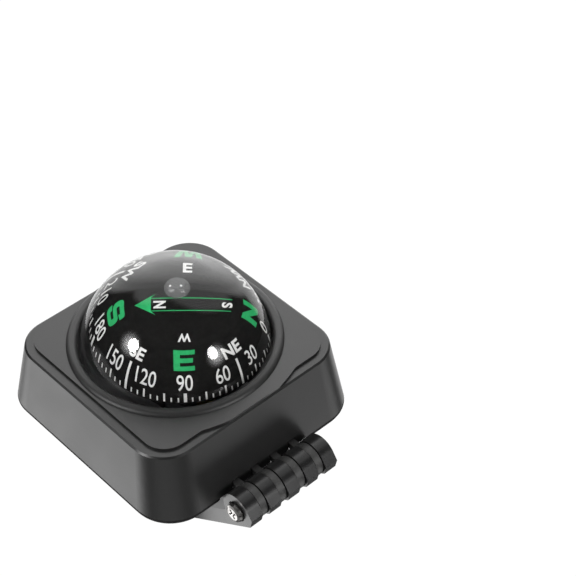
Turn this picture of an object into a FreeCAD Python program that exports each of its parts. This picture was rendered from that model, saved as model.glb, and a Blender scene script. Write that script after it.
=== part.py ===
import FreeCAD, Part
import math
import os

# Car dashboard compass: a liquid-filled dome in a tapered square housing, on a hinged mount plate.
# Millimetres. +Z is up with the head level, X runs along the hinge, the hinge is on the -Y side.
# The origin is the centre of the adhesive face. The plate is opened below the level head.

# One overrun for every cut
overrun = 2.0

# How near a corner must lie to a wanted place to count as found there
match = 0.001

# Capsule
dome_radius = 20.7
dome_wall = 1.3
dome_sink = 2.1
dome_gap = 0.3
dome_skirt = 5.0
capsule_shift_x = 0.45
capsule_shift_y = 1.1
flange_reach = 1.9
flange_thickness = 1.6
bowl_wall = 1.4
bowl_corner_bevel = 4.0
bowl_bottom_gap = 0.4
collar_wall = 1.9
seal_width = 1.4
seal_height = 0.7
cushion_thickness = 0.8
plug_radius = 1.6
plug_head_radius = 2.2
plug_head_height = 0.6
plug_place = 9.5

# Ring round the dome
ring_width = 2.4
ring_crest_width = 1.1
ring_crest_height = 1.45
ring_inner_drop = 0.35
ring_lip_share = 0.34

# Housing, as margins round the ring and as flares from the top to the foot
top_margin_x = 2.35
top_margin_y = 1.75
top_corner_radius = 7.9
flare_x = 2.25
flare_y = 3.4
foot_corner_radius = 9.3
housing_height = 16.6
housing_wall = 2.0
seam_height = 0.6
seam_inset = 0.3
top_edge_bevel = 0.35

# Raised panel on the top, with a bow towards the hinge
panel_margin_x = 2.3
panel_margin_y = 2.1
panel_corner_radius = 5.3
panel_step = 0.6
panel_bow_width = 26.0
panel_bow_reach = 2.5
panel_kink_radius = 3.0

# Corner screws of the cover
boss_radius = 2.4
boss_inset = 7.5
cover_screw_radius = 1.1
cover_screw_length = 8.0
cover_screw_head_radius = 2.0
cover_screw_head_height = 1.1
cover_screw_play = 0.3
screw_fit = 0.05

# Cover
cover_floor = 1.6
cover_spigot_wall = 1.4
cover_play = 0.25
nest_depth = 1.2
nest_play = 0.45
nest_mouth = 1.0

# Hinge
hinge_shift = -0.8
hinge_stand_off = 4.6
hinge_height = 0.6
wide_knuckle = 3.2
narrow_knuckle = 1.7
knuckle_gap = 0.2
wide_count = 5
barrel_radius = 4.15
narrow_barrel_radius = 3.9
barrel_clearance = 0.5
hinge_screw_radius = 1.3
hinge_screw_head_radius = 2.25
hinge_screw_head_height = 1.5
hinge_screw_head_play = 0.2
hinge_screw_sink = 0.3
hinge_bore_play = 0.07
nut_across_flats = 5.0
nut_thickness = 2.0
nut_play = 0.1
cross_width = 0.55
cross_span = 2.3
cross_tip_width = 0.28
cross_tip_span = 0.55
cross_depth = 0.8

# Mount plate
opening_angle = 36.0
plate_drop = 3.75
plate_height = 3.7
plate_length = 36.0
plate_corner_radius = 4.0
plate_wall = 1.6
plate_rib = 1.2
plate_rib_count = 2
pocket_depth = 1.6
pocket_start = 8.0
heel_radius = 1.1
foot_facet_height = 1.55
foot_facet_reach = 1.75
pad_thickness = 1.2
pad_proud = 0.3
pad_margin = 1.3
pad_clearance = 0.9
pad_corner_radius = 3.0

# Card, whose pivot stands off the dome's axis
card_shift_x = 1.6
card_shift_y = -1.5
dial_gap = 4.0
dial_rim_height = 0.3
dial_band_draw = 1.0
dial_band_height = 4.95
dial_shoulder_draw = 3.5
dial_shoulder_height = 8.65
dial_flat_draw = 6.85
dial_flat_height = 10.05
dial_wall = 0.7
dial_band_drop_share = 0.33
float_floor = 0.7
float_gap = 0.4
hub_wall = 1.0
hub_drop = 0.9
pivot_height = 1.5
cup_radius = 1.3
cup_cone_radius = 0.95
cup_fit = 0.08
socket_radius = 2.2
socket_above = 1.7
socket_below = 0.3
needle_radius = 0.45
needle_cone = 2.0
needle_root = 2.5
post_foot_radius = 2.4
post_top_radius = 1.4
needle_reach = 4.2
clip_inner_radius = 4.6
clip_outer_radius = 8.4
clip_thickness = 0.4
clip_drop = 3.6
magnet_length = 15.0
magnet_width = 2.2
magnet_spacing = 12.4
standoff_radius = 1.0

# Worked out from the sizes above
hole_radius = dome_radius + dome_gap
flange_radius = dome_radius + flange_reach
ring_outer_radius = hole_radius + ring_width
ring_crest_radius = hole_radius + ring_crest_width
top_width = 2 * (ring_outer_radius + top_margin_x)
top_depth = 2 * (ring_outer_radius + top_margin_y)
foot_width = top_width + 2 * flare_x
foot_depth = top_depth + 2 * flare_y
panel_width = top_width - 2 * panel_margin_x
panel_depth = top_depth - 2 * panel_margin_y
hinge_reach = foot_depth / 2 + hinge_stand_off
dome_centre_height = housing_height - dome_sink
dial_rim_radius = dome_radius - dome_wall - dial_gap
dial_band_radius = dial_rim_radius - dial_band_draw
dial_shoulder_radius = dial_rim_radius - dial_shoulder_draw
dial_flat_radius = dial_rim_radius - dial_flat_draw
seam_to_top = housing_height - seam_height
inner_top = housing_height - housing_wall
cover_top = nest_depth + cover_floor
flange_top = dome_centre_height - dome_skirt + flange_thickness
flange_bottom = flange_top - flange_thickness
bowl_floor_bottom = cover_top + bowl_bottom_gap
bowl_inner_radius = dome_radius - dome_wall
cushion_bottom = flange_bottom - flange_thickness - cushion_thickness
knuckle_pitch = wide_knuckle + narrow_knuckle + 2 * knuckle_gap
hinge_width = wide_count * wide_knuckle + (wide_count - 1) * (narrow_knuckle + 2 * knuckle_gap)
slope = math.radians(opening_angle)
hinge_bore_radius = hinge_screw_radius + hinge_bore_play
pad_drop = plate_drop + pad_proud
pad_start = narrow_barrel_radius + barrel_clearance + pad_clearance
pad_length = plate_length - pad_margin - pad_start
pad_middle = pad_start + pad_length / 2
plate_top = plate_height - plate_drop

X = FreeCAD.Vector(1, 0, 0)
Z = FreeCAD.Vector(0, 0, 1)


def vec(x, y, z):
    return FreeCAD.Vector(x, y, z)


# The adhesive face's centre is the origin, and the other places follow from it
face_centre = vec(
    0,
    pad_middle * math.cos(slope) - pad_drop * math.sin(slope),
    -pad_middle * math.sin(slope) - pad_drop * math.cos(slope),
)
hinge_axis = vec(hinge_shift, -face_centre.y, -face_centre.z)
head_origin = hinge_axis + vec(-hinge_shift, hinge_reach, -hinge_height)
capsule_shift = vec(capsule_shift_x, capsule_shift_y, 0)
capsule_centre = head_origin + capsule_shift + vec(0, 0, dome_centre_height)
card_centre = capsule_centre + vec(card_shift_x, card_shift_y, 0)


def on_head(shape):
    """Move a piece from the level head's frame to the part's frame."""
    return shape.translated(head_origin)


def on_capsule(shape):
    """Move a piece from the dome centre's frame to the part's frame."""
    return shape.translated(capsule_centre)


def on_card(shape):
    """Move a piece from the card's frame, level with the dome centre, to the part's frame."""
    return shape.translated(card_centre)


def on_mount(shape):
    """Turn a piece of the mount by the opening angle about the hinge axis, and seat it there."""
    turned = shape.copy()
    turned.rotate(vec(0, 0, 0), X, -opening_angle)
    return turned.translated(hinge_axis)


def save(node, shape):
    shape.exportStep("parts/" + node + ".step")


def rounded_rect(width, depth, radius, z):
    """A closed outline of four sides and four corner arcs, centred on the axis."""
    half_x = width / 2
    half_y = depth / 2
    diagonal = radius * math.sqrt(0.5)
    edges = []
    for turn in range(4):
        angle = turn * 90
        run_x, run_y = (half_x, half_y) if turn % 2 == 0 else (half_y, half_x)
        start = vec(run_x, radius - run_y, z)
        end = vec(run_x, run_y - radius, z)
        centre = vec(run_x - radius, run_y - radius, z)
        middle = centre + vec(diagonal, diagonal, 0)
        corner_end = centre + vec(0, radius, 0)
        side = Part.LineSegment(start, end).toShape()
        corner = Part.Arc(end, middle, corner_end).toShape()
        for edge in (side, corner):
            edge.rotate(vec(0, 0, 0), Z, angle)
            edges.append(edge)
    return Part.Wire(Part.__sortEdges__(edges))


def slab(width, depth, radius, low, high):
    face = Part.Face(rounded_rect(width, depth, radius, low))
    return face.extrude(vec(0, 0, high - low))


def box(x_low, x_high, y_low, y_high, z_low, z_high):
    return Part.makeBox(x_high - x_low, y_high - y_low, z_high - z_low, vec(x_low, y_low, z_low))


def pipe(radius, low, high, x=0.0, y=0.0):
    return Part.makeCylinder(radius, high - low, vec(x, y, low), Z)


def ring(inner, outer, low, high):
    return pipe(outer, low, high).cut(pipe(inner, low - overrun, high + overrun))


def lathe(points):
    """Turn a closed outline of (radius, height) points about the upright axis."""
    outline = Part.makePolygon([vec(r, 0, z) for r, z in points + points[:1]])
    return turned_face(outline)


def turned_face(wire):
    return Part.Face(wire).revolve(vec(0, 0, 0), Z, 360)


def line(a, b):
    return Part.LineSegment(vec(a[0], 0, a[1]), vec(b[0], 0, b[1])).toShape()


def arc(a, b, c):
    return Part.Arc(vec(a[0], 0, a[1]), vec(b[0], 0, b[1]), vec(c[0], 0, c[1])).toShape()


def fused(shapes):
    whole = shapes[0]
    if len(shapes) > 1:
        whole = whole.multiFuse(shapes[1:])
    return whole.removeSplitter()


def corner_places():
    """The four corner screws, set in from the foot's sides."""
    x = foot_width / 2 - boss_inset
    y = foot_depth / 2 - boss_inset
    return [(x, y), (-x, y), (-x, -y), (x, -y)]


def side_share(height):
    """How far up the tapered sides a height lies, from the seam to the top."""
    return (height - seam_height) / seam_to_top


def taper_outline(height, inset):
    """The housing's outline at one height, set in from its outside."""
    share = side_share(height)
    width = foot_width + (top_width - foot_width) * share - 2 * inset
    depth = foot_depth + (top_depth - foot_depth) * share - 2 * inset
    radius = foot_corner_radius + (top_corner_radius - foot_corner_radius) * share - inset
    return rounded_rect(width, depth, radius, height)


def tapered_block(low, high, inset):
    return Part.makeLoft([taper_outline(low, inset), taper_outline(high, inset)], True, True)


def panel_outline(z):
    """Rounded square whose hinge side bows out in one arc between two kinks."""
    square = Part.Face(rounded_rect(panel_width, panel_depth, panel_corner_radius, z))
    side = -panel_depth / 2
    half = panel_bow_width / 2
    left = vec(-half, side, z)
    right = vec(half, side, z)
    bow = Part.Arc(left, vec(0, side - panel_bow_reach, z), right).toShape()
    back_left = vec(-half, side + panel_corner_radius, z)
    back_right = vec(half, side + panel_corner_radius, z)
    wire = Part.Wire([
        bow,
        Part.LineSegment(right, back_right).toShape(),
        Part.LineSegment(back_right, back_left).toShape(),
        Part.LineSegment(back_left, left).toShape(),
    ])
    return square.fuse(Part.Face(wire)).removeSplitter().Faces[0]


def upright_edges(shape, x, y):
    """Edges that stand upright at one distance either side of the middle and one depth."""
    found = []
    for edge in shape.Edges:
        low, high = edge.Vertexes[0].Point, edge.Vertexes[-1].Point
        upright = low.distanceToPoint(vec(high.x, high.y, low.z)) < match
        if upright and abs(abs(low.x) - x) < match and abs(low.y - y) < match:
            found.append(edge)
    return found


def raised_panel():
    panel = panel_outline(housing_height - panel_step).extrude(vec(0, 0, 2 * panel_step))
    kinks = upright_edges(panel, panel_bow_width / 2, -panel_depth / 2)
    panel = panel.makeFillet(panel_kink_radius, kinks)
    top = slab(top_width - panel_step, top_depth - panel_step, top_corner_radius,
               housing_height - overrun, housing_height + overrun)
    return panel.common(top)


def dome_ring():
    """Rounded ring on the top, and the collar inside that the capsule's flange seats under."""
    foot = housing_height - panel_step
    crest = housing_height + ring_crest_height
    inner_edge = crest - ring_inner_drop
    half_rise = (ring_outer_radius - ring_crest_radius) * (1 - math.sqrt(0.5))
    outer = (ring_outer_radius, foot)
    start = (ring_outer_radius, housing_height + panel_step)
    top = (ring_crest_radius, crest)
    shoulder = (ring_outer_radius - half_rise, crest - (crest - start[1]) * (1 - math.sqrt(0.5)))
    lip_start = (hole_radius, inner_edge - ring_inner_drop)
    lip = (hole_radius + ring_crest_width * ring_lip_share, crest - ring_inner_drop * ring_lip_share)
    bottom_in = (hole_radius, flange_top)
    bottom_out = (hole_radius + collar_wall, flange_top)
    collar_top = (hole_radius + collar_wall, foot)
    wire = Part.Wire([
        line(bottom_in, bottom_out),
        line(bottom_out, collar_top),
        line(collar_top, outer),
        line(outer, start),
        arc(start, shoulder, top),
        arc(top, lip, lip_start),
        line(lip_start, bottom_in),
    ])
    return turned_face(wire).translated(capsule_shift)


def narrow_starts():
    """Where each narrow knuckle starts along the hinge, one between every two wide ones."""
    first = -hinge_width / 2 + wide_knuckle + knuckle_gap
    return [first + index * knuckle_pitch for index in range(wide_count - 1)]


def rod(radius, start, length, y=0.0, z=0.0):
    """A cylinder along the hinge."""
    return Part.makeCylinder(radius, length, vec(start, y, z), X)


def housing_shell():
    shoulder_height = housing_height - top_edge_bevel
    outside = Part.makeLoft([
        taper_outline(seam_height, 0),
        taper_outline(shoulder_height, 0),
        taper_outline(housing_height, top_edge_bevel),
    ], True, True)
    inside = tapered_block(seam_height, inner_top, housing_wall)
    body = outside.cut(inside)
    bosses = [pipe(boss_radius, cover_top, inner_top + housing_wall / 2, x, y) for x, y in corner_places()]
    body = fused([body, raised_panel(), dome_ring()] + bosses)
    hole = pipe(hole_radius, flange_top - overrun, housing_height + 2 * overrun)
    body = body.cut(hole.translated(capsule_shift))
    seat = pipe(flange_radius + dome_gap, seam_height, flange_top).translated(capsule_shift)
    body = body.cut(seat.common(inside))
    nest_half = hinge_width / 2 + nest_play
    cuts = [box(hinge_shift - nest_half, hinge_shift + nest_half, -foot_depth / 2 - overrun,
                -foot_depth / 2 + housing_wall + overrun, 0, nest_mouth)]
    for x, y in corner_places():
        depth = cover_screw_length
        cuts.append(pipe(cover_screw_radius + screw_fit, cover_top - overrun, cover_top + depth, x, y))
    for start in narrow_starts():
        slot_low = start + hinge_shift - knuckle_gap
        cuts.append(box(slot_low, slot_low + narrow_knuckle + 2 * knuckle_gap,
                        -foot_depth / 2 - overrun, -foot_depth / 2 + housing_wall + overrun,
                        0, cover_top + knuckle_gap))
    return on_head(body.cut(Part.makeCompound(cuts)))


def arm(start):
    """One narrow knuckle with the arm that joins it to the cover."""
    x = start + hinge_shift
    barrel = rod(narrow_barrel_radius, x, narrow_knuckle, -hinge_reach, hinge_height)
    reach = box(x, x + narrow_knuckle, -hinge_reach,
                -foot_depth / 2 + housing_wall + cover_spigot_wall + cover_play, nest_depth, cover_top)
    return [barrel, reach]


def bottom_cover():
    band = slab(foot_width - 2 * seam_inset, foot_depth - 2 * seam_inset,
                foot_corner_radius - seam_inset, 0, seam_height)
    spigot_inset = housing_wall + cover_play
    floor = tapered_block(seam_height, cover_floor, spigot_inset)
    plug = tapered_block(seam_height, cover_top, spigot_inset)
    hollow = tapered_block(seam_height, cover_top + overrun, spigot_inset + cover_spigot_wall)
    spigot = plug.cut(hollow)
    nest_half = hinge_width / 2 + nest_play
    nest_end = plate_length - hinge_reach + nest_play
    pan = box(hinge_shift - nest_half - cover_floor, hinge_shift + nest_half + cover_floor,
              -foot_depth / 2 + spigot_inset + overrun, nest_end + cover_floor, 0, cover_top)
    collar = ring(flange_radius - collar_wall, flange_radius, seam_height, cushion_bottom)
    collar.translate(capsule_shift)
    pads = [pipe(boss_radius + cover_play, 0, cover_top, x, y) for x, y in corner_places()]
    inner_pads = [pad.common(slab(foot_width - 2 * spigot_inset, foot_depth - 2 * spigot_inset,
                                  foot_corner_radius - spigot_inset, 0, cover_top)) for pad in pads]
    body = fused([band, floor, spigot, pan, collar] + inner_pads)
    nest = box(hinge_shift - nest_half, hinge_shift + nest_half, -foot_depth / 2 - overrun, nest_end,
               -overrun, nest_depth)
    cuts = [nest]
    for x, y in corner_places():
        cuts.append(pipe(cover_screw_radius + cover_screw_play, -overrun, cover_top + overrun, x, y))
        cuts.append(pipe(cover_screw_head_radius + cover_screw_play, -overrun,
                         cover_screw_head_height, x, y))
    body = body.cut(Part.makeCompound(cuts))
    arms = []
    for start in narrow_starts():
        arms += arm(start)
    body = fused([body] + arms)
    bore = rod(hinge_bore_radius, hinge_shift - hinge_width, 2 * hinge_width, -hinge_reach, hinge_height)
    return on_head(body.cut(bore))


def flat_rect(length, width, z):
    x = length / 2
    y = width / 2
    return Part.makePolygon([vec(-x, -y, z), vec(x, -y, z), vec(x, y, z), vec(-x, y, z), vec(-x, -y, z)])


def cross_recess():
    """The two tapered wings of a cross recess, cut down from the head's top at zero height."""
    wings = []
    for turn in range(2):
        top = flat_rect(cross_span, cross_width, 0)
        low = flat_rect(cross_tip_span, cross_tip_width, -cross_depth)
        wing = Part.makeLoft([low, top], True, True)
        wing.rotate(vec(0, 0, 0), Z, 90 * turn)
        wings.append(wing)
    return fused(wings)


def pan_screw(radius, length, head_radius, head_height):
    """A pan-head screw that points down, with its head's top at zero height."""
    rim = head_height / 2
    draw = rim * (1 - math.sqrt(0.5))
    return lathe([
        (0, 0),
        (head_radius - rim, 0),
        (head_radius - draw, -draw),
        (head_radius, -rim),
        (head_radius, -head_height),
        (radius, -head_height),
        (radius, -head_height - length),
        (0, -head_height - length),
    ]).cut(cross_recess())


def cover_screws():
    screw = pan_screw(cover_screw_radius, cover_screw_length, cover_screw_head_radius,
                      cover_screw_head_height)
    screw.rotate(vec(0, 0, 0), X, 180)
    screws = [screw.translated(vec(x, y, 0)) for x, y in corner_places()]
    return on_head(Part.makeCompound(screws))


def capsule_dome():
    outer = dome_radius
    inner = dome_radius - dome_wall
    low = -dome_skirt
    slant = math.sqrt(0.5)
    wire = Part.Wire([
        arc((0, outer), (outer * slant, outer * slant), (outer, 0)),
        line((outer, 0), (outer, low + flange_thickness)),
        line((outer, low + flange_thickness), (flange_radius, low + flange_thickness)),
        line((flange_radius, low + flange_thickness), (flange_radius, low)),
        line((flange_radius, low), (inner, low)),
        line((inner, low), (inner, 0)),
        arc((inner, 0), (inner * slant, inner * slant), (0, inner)),
        line((0, inner), (0, outer)),
    ])
    return on_capsule(turned_face(wire))


def seal_groove(extra):
    middle = (dome_radius + flange_radius) / 2 - dome_wall / 2
    top = -dome_skirt
    return ring(middle - seal_width / 2 - extra, middle + seal_width / 2 + extra,
                top - seal_height - extra, top)


def capsule_bowl():
    top = -dome_skirt
    inner = bowl_inner_radius
    outer = inner + bowl_wall
    bottom = bowl_floor_bottom - dome_centre_height
    floor = bottom + bowl_wall
    bevel = min(bowl_corner_bevel, top - flange_thickness - floor)
    draw = bowl_wall * (math.sqrt(2) - 1)
    shell = lathe([
        (0, floor),
        (inner - bevel, floor),
        (inner, floor + bevel),
        (inner, top),
        (flange_radius, top),
        (flange_radius, top - flange_thickness),
        (outer, top - flange_thickness),
        (outer, floor + bevel - draw),
        (inner - bevel + draw, bottom),
        (0, bottom),
    ])
    body = shell.cut(seal_groove(0))
    body = body.cut(pipe(plug_radius, bottom - overrun, floor + overrun, 0, plug_place))
    return on_capsule(body)


def capsule_seal():
    return on_capsule(seal_groove(-screw_fit))


def cushion_ring():
    low = cushion_bottom - dome_centre_height
    outer_wall = bowl_inner_radius + bowl_wall
    return on_capsule(ring(outer_wall + cover_play, flange_radius, low, low + cushion_thickness))


def fill_plug():
    bottom = bowl_floor_bottom - dome_centre_height
    stem = pipe(plug_radius - screw_fit, bottom, bottom + bowl_wall, 0, plug_place)
    head = pipe(plug_head_radius, bottom + bowl_wall, bottom + bowl_wall + plug_head_height, 0, plug_place)
    return on_capsule(fused([stem, head]))


def post_floor():
    return bowl_floor_bottom + bowl_wall - dome_centre_height


def pivot_post():
    low = post_floor()
    top = pivot_height - needle_reach
    post = Part.makeCone(post_foot_radius, post_top_radius, top - low, vec(0, 0, low), Z)
    seat = pipe(needle_radius + screw_fit, top - needle_root, top + overrun)
    return on_card(post.cut(seat))


def pivot_needle():
    low = pivot_height - needle_reach - needle_root
    tip = pivot_height - screw_fit
    return on_card(lathe([
        (0, low),
        (needle_radius, low),
        (needle_radius, tip - needle_cone),
        (0, tip),
    ]))


def jewel_cup():
    """Ball whose lower cone rides on the needle's point."""
    ball = Part.makeSphere(cup_radius)
    ball = ball.common(box(-cup_radius, cup_radius, -cup_radius, cup_radius, -socket_below, cup_radius))
    cone = Part.makeCone(cup_cone_radius, 0, cup_cone_radius, vec(0, 0, -cup_cone_radius), Z)
    return on_card(ball.cut(cone).translated(vec(0, 0, pivot_height)))


def jewel_socket():
    body = pipe(socket_radius, -socket_below, socket_above)
    body = body.cut(Part.makeSphere(cup_radius + cup_fit))
    return on_card(body.translated(vec(0, 0, pivot_height)))


def crown_middle(shoulder, flat):
    """Middle point of the arc from the shoulder that runs level into the flat top."""
    reach = shoulder[0] - flat[0]
    rise = flat[1] - shoulder[1]
    bend = (reach * reach + rise * rise) / (2 * rise)
    half = math.asin(reach / bend) / 2
    return (flat[0] + bend * math.sin(half), flat[1] - bend * (1 - math.cos(half)))


def dial_profile(inset):
    """Corners of the dial's outside, or of its inside when set in by the wall."""
    rim = (dial_rim_radius - inset, dial_rim_height)
    band = (dial_band_radius - inset, dial_band_height - inset * dial_band_drop_share)
    shoulder = (dial_shoulder_radius - inset * math.sqrt(0.5), dial_shoulder_height - inset)
    flat = (dial_flat_radius, dial_flat_height - inset)
    pole = (0, flat[1])
    return rim, band, shoulder, crown_middle(shoulder, flat), flat, pole


def card_dial():
    rim, band, shoulder, middle, flat, pole = dial_profile(0)
    wire = [arc(rim, band, shoulder), arc(shoulder, middle, flat), line(flat, pole)]
    inside = [pole] + list(reversed(dial_profile(dial_wall))) + [rim]
    for start, end in zip(inside, inside[1:]):
        wire.append(line(start, end))
    return on_card(turned_face(Part.Wire(wire)))


def card_float():
    low = dial_rim_height
    floor = pipe(dial_rim_radius - dial_wall - float_gap, low, low + float_floor)
    bore = socket_radius + cup_fit
    top = pivot_height + socket_above + cup_fit
    hub = pipe(bore + hub_wall, low - hub_drop, top + hub_wall)
    body = fused([floor, hub] + standoffs())
    return on_card(body.cut(pipe(bore, low - hub_drop - overrun, top)))


def standoffs():
    place = (clip_inner_radius + clip_outer_radius) / 2
    return [pipe(standoff_radius, -clip_drop, dial_rim_height + float_floor, 0, side * place)
            for side in (-1, 1)]


def magnet_clip():
    low = -clip_drop - clip_thickness
    plate = ring(clip_inner_radius, clip_outer_radius, low, -clip_drop)
    half = clip_inner_radius / 2
    ear_start = magnet_spacing / 2 + magnet_width / 2 + screw_fit
    ears = []
    for turn in (0, 180):
        tab = box(clip_inner_radius, ear_start, -half, half, low, -clip_drop)
        ear = box(ear_start, ear_start + clip_thickness, -half, half, low - magnet_width, -clip_drop)
        for piece in (tab, ear):
            piece.rotate(vec(0, 0, 0), Z, turn)
            ears.append(piece)
    return on_card(fused([plate] + ears))


def card_magnets():
    top = -clip_drop - clip_thickness
    bars = []
    for side in (-1, 1):
        x = side * magnet_spacing / 2
        bars.append(box(x - magnet_width / 2, x + magnet_width / 2, -magnet_length / 2,
                        magnet_length / 2, top - magnet_width, top))
    return on_card(Part.makeCompound(bars))


def mount_slab():
    """The plate itself: from the barrel's front to its rounded far end, under the barrel's top."""
    half = hinge_width / 2
    turn = plate_corner_radius
    slant = turn * (1 - math.sqrt(0.5))
    low = -plate_drop
    start = -barrel_radius
    end = plate_length
    wire = Part.Wire([
        Part.LineSegment(vec(-half, start, low), vec(half, start, low)).toShape(),
        Part.LineSegment(vec(half, start, low), vec(half, end - turn, low)).toShape(),
        Part.Arc(vec(half, end - turn, low), vec(half - slant, end - slant, low),
                 vec(half - turn, end, low)).toShape(),
        Part.LineSegment(vec(half - turn, end, low), vec(turn - half, end, low)).toShape(),
        Part.Arc(vec(turn - half, end, low), vec(slant - half, end - slant, low),
                 vec(-half, end - turn, low)).toShape(),
        Part.LineSegment(vec(-half, end - turn, low), vec(-half, start, low)).toShape(),
    ])
    return Part.Face(wire).extrude(vec(0, 0, plate_height))


def heel():
    """Concave fillet between the barrel's back and the plate's top."""
    reach = barrel_radius + heel_radius
    rise = plate_top + heel_radius
    centre_y = math.sqrt(reach * reach - rise * rise)
    block = box(-hinge_width / 2, hinge_width / 2, 0, centre_y, -plate_drop / 2, rise)
    return block.cut(rod(heel_radius, -hinge_width, 2 * hinge_width, centre_y, rise))


def plate_pockets():
    """Pockets in the plate's top that leave its walls and lengthwise ribs."""
    clear_width = hinge_width - 2 * plate_wall - plate_rib_count * plate_rib
    pocket = clear_width / (plate_rib_count + 1)
    end = plate_length - plate_wall - plate_corner_radius / 2
    pockets = []
    for index in range(plate_rib_count + 1):
        x = -hinge_width / 2 + plate_wall + index * (pocket + plate_rib)
        pockets.append(box(x, x + pocket, pocket_start, end, plate_top - pocket_depth,
                           plate_top + overrun))
    return pockets


def hexagon(across_flats, start, length):
    radius = across_flats / math.sqrt(3)
    points = []
    for corner in range(7):
        angle = math.radians(60 * corner)
        points.append(vec(start, radius * math.cos(angle), radius * math.sin(angle)))
    return Part.Face(Part.makePolygon(points)).extrude(vec(length, 0, 0))


def pad_block(play, low, high):
    width = hinge_width - 2 * pad_margin + 2 * play
    body = slab(width, pad_length + 2 * play, pad_corner_radius, low, high)
    return body.translated(vec(0, pad_middle, 0))


def mount_plate():
    barrel = rod(barrel_radius, -hinge_width / 2, hinge_width)
    body = fused([mount_slab(), barrel, heel()])
    cuts = [box(-hinge_width, hinge_width, -2 * barrel_radius, plate_length,
                -2 * barrel_radius, -plate_drop)]
    facet = Part.Face(Part.makePolygon([
        vec(-hinge_width, -barrel_radius, foot_facet_height - plate_drop),
        vec(-hinge_width, foot_facet_reach - barrel_radius, -plate_drop),
        vec(-hinge_width, -barrel_radius - overrun, -plate_drop - overrun),
        vec(-hinge_width, -barrel_radius, foot_facet_height - plate_drop),
    ]))
    cuts.append(facet.extrude(vec(2 * hinge_width, 0, 0)))
    clear = narrow_barrel_radius + barrel_clearance
    for start in narrow_starts():
        low = start - knuckle_gap
        width = narrow_knuckle + 2 * knuckle_gap
        cuts.append(rod(clear, low, width))
        cuts.append(box(low, low + width, -2 * barrel_radius, 0, -2 * barrel_radius, 2 * barrel_radius))
        cuts.append(box(low, low + width, 0, clear, 0, 2 * barrel_radius))
    cuts += plate_pockets()
    cuts.append(pad_block(screw_fit, -plate_drop - overrun, pad_thickness - pad_drop))
    cuts.append(rod(hinge_screw_radius + screw_fit, -hinge_width, 2 * hinge_width))
    cuts.append(rod(hinge_screw_head_radius + hinge_screw_head_play, -hinge_width / 2 - overrun,
                    overrun + hinge_screw_sink))
    cuts.append(hexagon(nut_across_flats + 2 * nut_play, hinge_width / 2 - nut_thickness,
                        nut_thickness + overrun))
    return on_mount(body.cut(Part.makeCompound(cuts)))


def adhesive_pad():
    return on_mount(pad_block(0, -pad_drop, pad_thickness - pad_drop))


def hinge_screw():
    head_seat = -hinge_width / 2 + hinge_screw_sink
    length = hinge_width / 2 - head_seat
    screw = pan_screw(hinge_screw_radius, length, hinge_screw_head_radius, hinge_screw_head_height)
    screw.rotate(vec(0, 0, 0), vec(0, 1, 0), -90)
    return on_mount(screw.translated(vec(head_seat - hinge_screw_head_height, 0, 0)))


def hinge_nut():
    nut = hexagon(nut_across_flats, hinge_width / 2 - nut_thickness, nut_thickness)
    return on_mount(nut.cut(rod(hinge_screw_radius + screw_fit, 0, hinge_width)))


pieces = [
    mount_plate, adhesive_pad, hinge_screw, hinge_nut,
    housing_shell, bottom_cover, cover_screws, capsule_dome, capsule_bowl, capsule_seal,
    cushion_ring, fill_plug, pivot_post, pivot_needle,
    jewel_cup, jewel_socket, card_dial, card_float, magnet_clip, card_magnets,
]

os.makedirs("parts", exist_ok=True)
for piece in pieces:
    save(piece.__name__, piece())
print("hinge axis", hinge_axis)
print("head origin", head_origin)
print("capsule centre", capsule_centre)
print("card centre", card_centre)
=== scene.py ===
import math

import bmesh
import bpy
from mathutils import Matrix, Vector


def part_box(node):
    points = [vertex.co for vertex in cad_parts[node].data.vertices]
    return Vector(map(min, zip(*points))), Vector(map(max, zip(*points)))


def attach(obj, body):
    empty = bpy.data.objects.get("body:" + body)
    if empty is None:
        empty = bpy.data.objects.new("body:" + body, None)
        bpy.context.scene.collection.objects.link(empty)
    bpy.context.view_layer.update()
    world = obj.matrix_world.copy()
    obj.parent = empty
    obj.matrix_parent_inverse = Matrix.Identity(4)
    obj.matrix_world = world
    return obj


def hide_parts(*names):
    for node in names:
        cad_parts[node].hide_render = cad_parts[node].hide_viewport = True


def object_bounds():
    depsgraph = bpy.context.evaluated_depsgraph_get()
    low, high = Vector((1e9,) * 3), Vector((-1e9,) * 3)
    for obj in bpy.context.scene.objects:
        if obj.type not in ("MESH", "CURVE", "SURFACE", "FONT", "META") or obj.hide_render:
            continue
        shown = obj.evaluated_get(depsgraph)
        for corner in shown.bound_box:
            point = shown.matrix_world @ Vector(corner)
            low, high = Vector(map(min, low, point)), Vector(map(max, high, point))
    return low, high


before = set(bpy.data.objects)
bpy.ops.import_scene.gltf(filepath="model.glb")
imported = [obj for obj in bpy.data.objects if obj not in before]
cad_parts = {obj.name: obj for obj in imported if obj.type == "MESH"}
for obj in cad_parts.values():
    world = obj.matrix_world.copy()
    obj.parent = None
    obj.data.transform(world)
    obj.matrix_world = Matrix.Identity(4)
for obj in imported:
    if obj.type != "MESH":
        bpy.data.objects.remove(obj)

# Car dashboard compass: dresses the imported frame. Lengths are written in millimetres, which `mm`
# turns into Blender's metres, or in metres where a name ends in _m. What the frame gives is in
# metres, and so are the places of textures. +Z is up with the head level.

mm = 0.001
cad_low, cad_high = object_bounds()

# Sizes that the dressed pieces share with the frame
seam_height = 0.6
dome_radius = 20.7
dome_wall = 1.3
dome_skirt = 5.0
flange_radius = 22.6
ring_radius = 23.6
flange_thickness = 1.6
dial_rim = (15.4, 0.3)
dial_band = (14.4, 4.95)
dial_shoulder = (11.9, 8.65)
dial_flat = (8.55, 10.05)

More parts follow.
